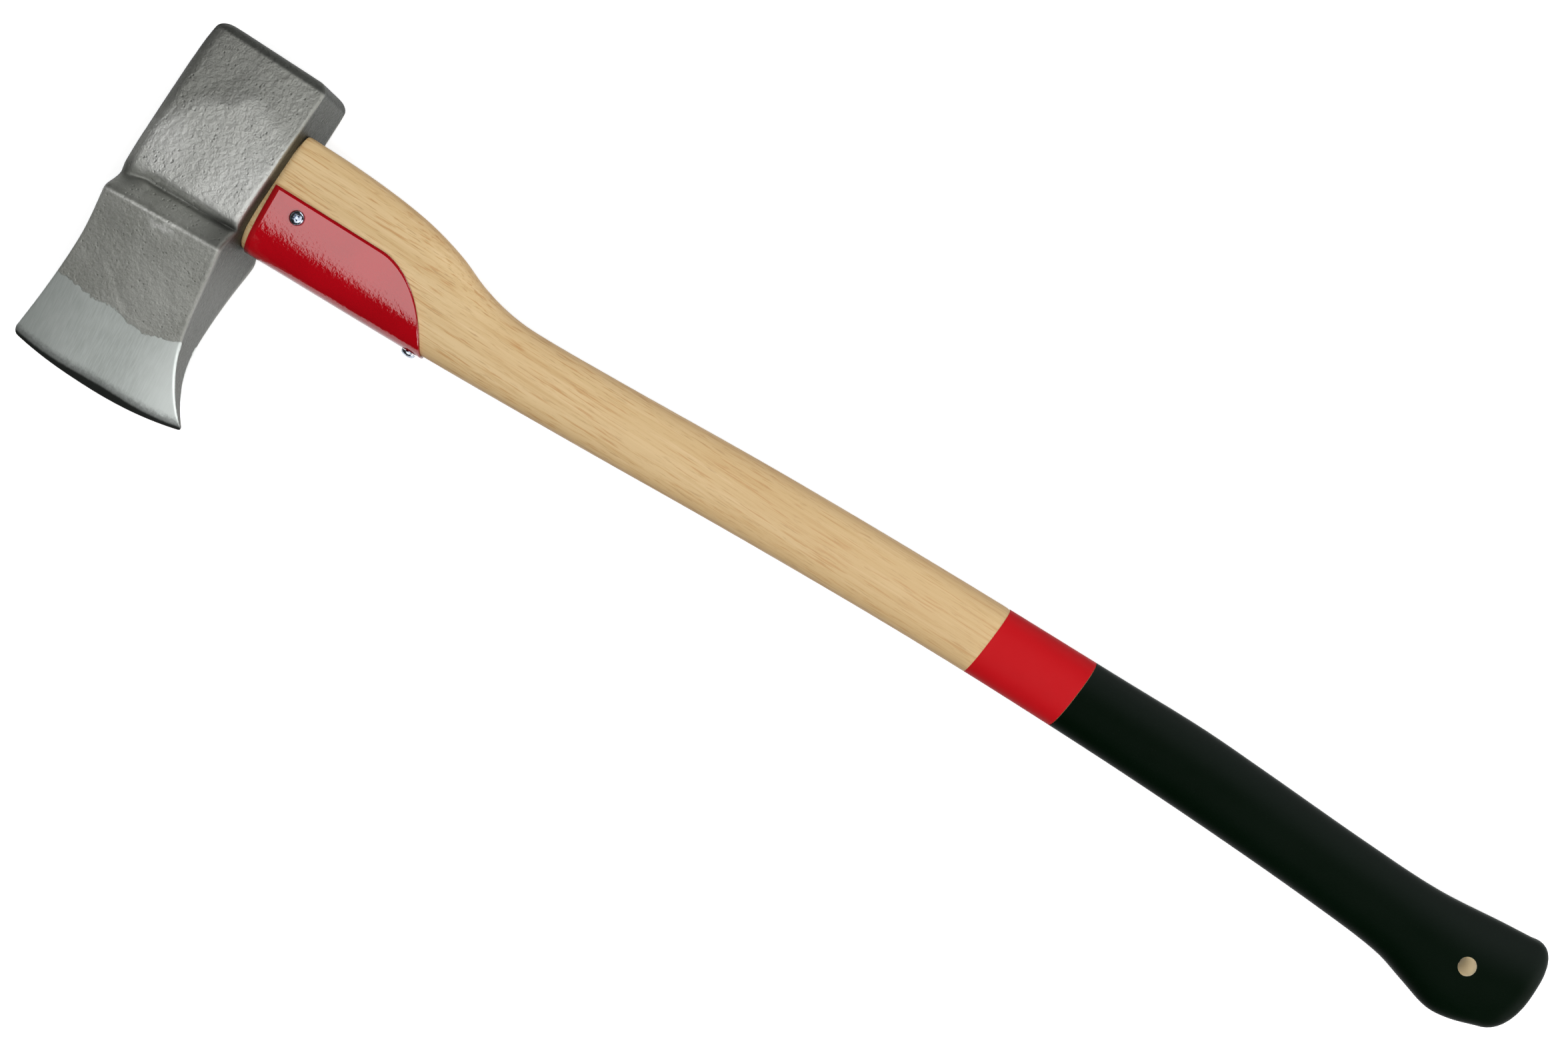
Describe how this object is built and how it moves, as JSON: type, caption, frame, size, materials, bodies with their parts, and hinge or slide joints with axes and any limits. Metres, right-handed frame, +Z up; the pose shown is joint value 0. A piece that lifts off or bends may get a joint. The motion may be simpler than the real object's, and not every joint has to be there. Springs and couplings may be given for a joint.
{
  "type": "splitting maul",
  "caption": "Forged splitting maul head wedged onto a curved wooden handle, with a red sheet steel guard below the head and a dip coated grip with a hang hole.",
  "frame": {"origin": "middle of the footprint, on the surface that the maul lies on", "axes": "+X from the head to the butt of the handle, +Y from the cutting edge to the poll, +Z up through the head's upper cheek. The maul rests on its ridge, its poll and its butt, so its middle plane is rolled 4.5 degrees about X and pitched 1.4 degrees about Y."},
  "size_m": [0.796, 0.187, 0.0672],
  "materials": {
    "forged_steel": "hammer forged scale on the cheeks, satin ground blade, clear lacquer",
    "hickory": "sanded and lightly oiled",
    "red_lacquer": "satin dip lacquer on wood",
    "black_lacquer": "satin black dip lacquer on wood",
    "wedge_wood": "raw end grain",
    "wedge_steel": "raw steel",
    "red_enamel": "gloss powder coat with slight orange peel",
    "zinc_plated": "bright zinc plate"
  },
  "bodies": {
    "root": {"head": "forged_steel", "handle": "hickory", "red_band": "red_lacquer", "grip_coat": "black_lacquer", "wooden_wedge": "wedge_wood", "ring_wedge": "wedge_steel", "handle_guard": "red_enamel", "guard_screw_upper": "zinc_plated", "guard_screw_lower": "zinc_plated", "guard_screw_belly": "zinc_plated"}
  },
  "joints": []
}
